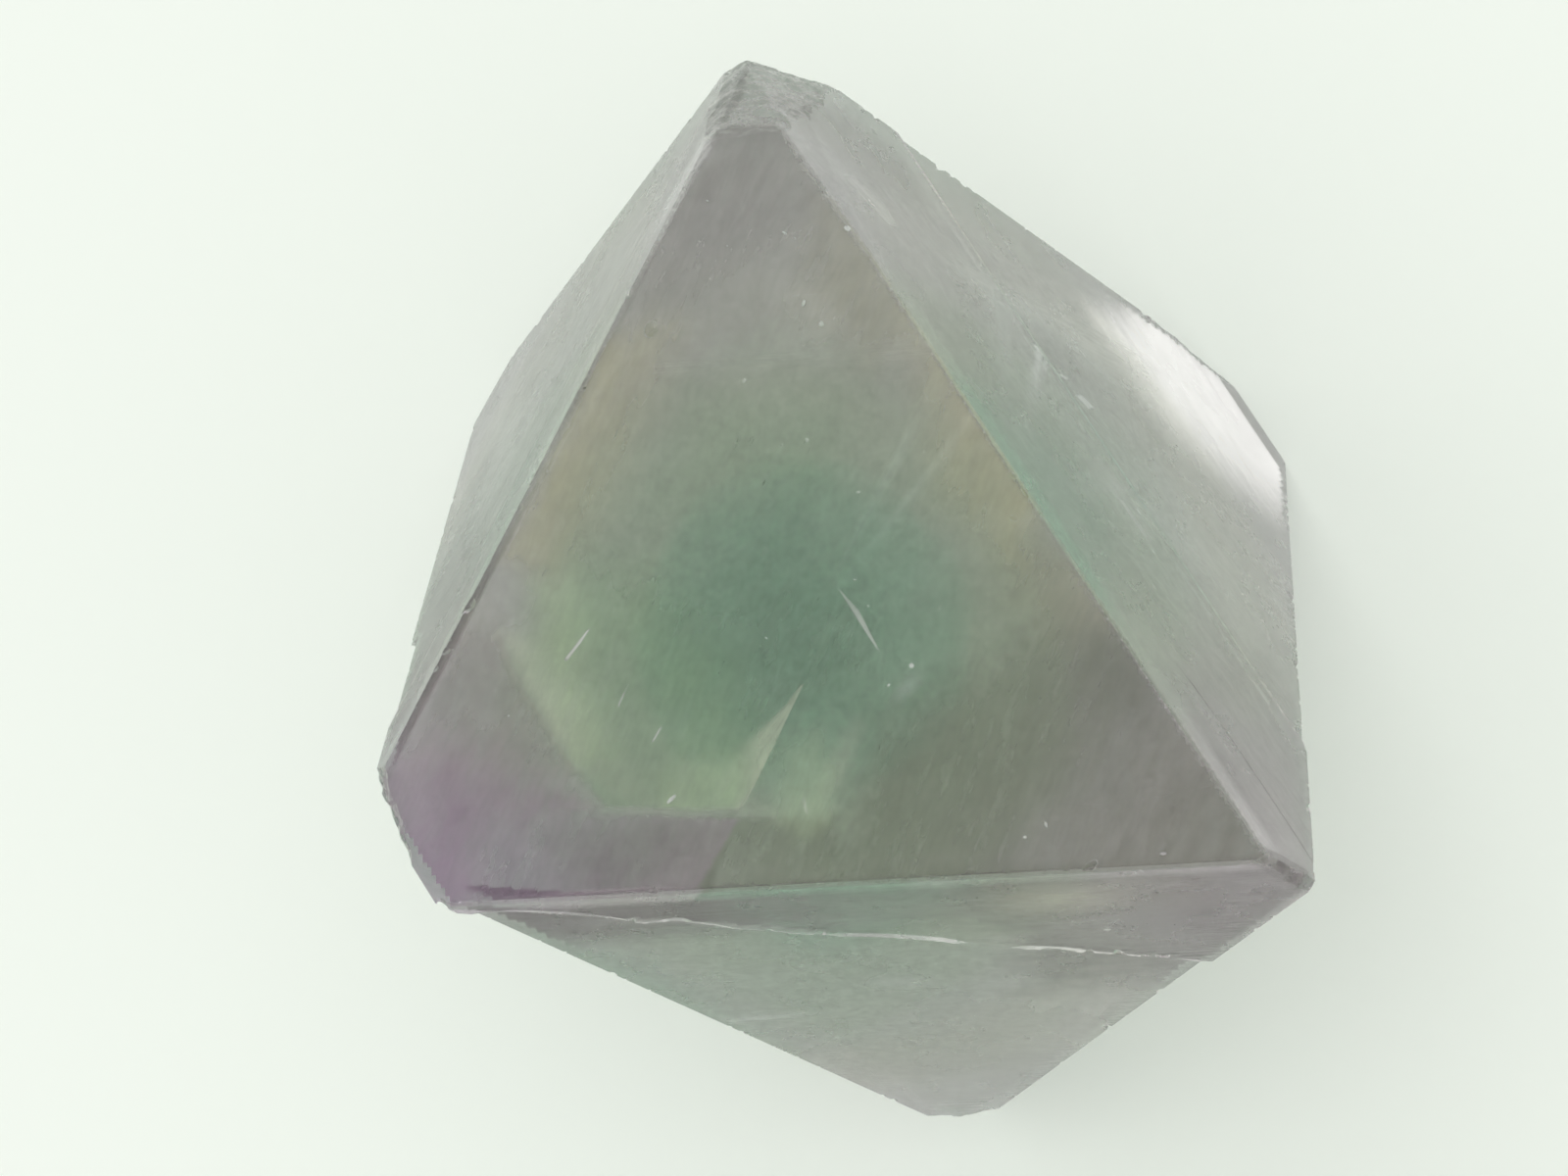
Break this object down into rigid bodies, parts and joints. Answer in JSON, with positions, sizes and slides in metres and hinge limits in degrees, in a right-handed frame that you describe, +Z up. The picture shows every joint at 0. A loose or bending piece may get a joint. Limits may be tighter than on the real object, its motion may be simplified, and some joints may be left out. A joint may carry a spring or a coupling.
{
  "type": "fluorite octahedron",
  "caption": "Cleaved fluorite octahedron with satin faces, green-to-mauve colour zones, a broken tip and cleavage steps, lying on one face as a mineral specimen.",
  "frame": {"origin": "centre of the bounding box's base, on the surface that the back face rests on", "axes": "+Z up, out of the large front face; +Y towards the broken top corner in plan; +X towards the sharp right corner's side"},
  "size_m": [0.0218, 0.0256, 0.0193],
  "materials": {
    "fluorite": "translucent, satin cleavage faces, green core with tan and mauve zones towards the corners"
  },
  "bodies": {
    "root": {"fluorite_octahedron": "fluorite"}
  },
  "joints": []
}
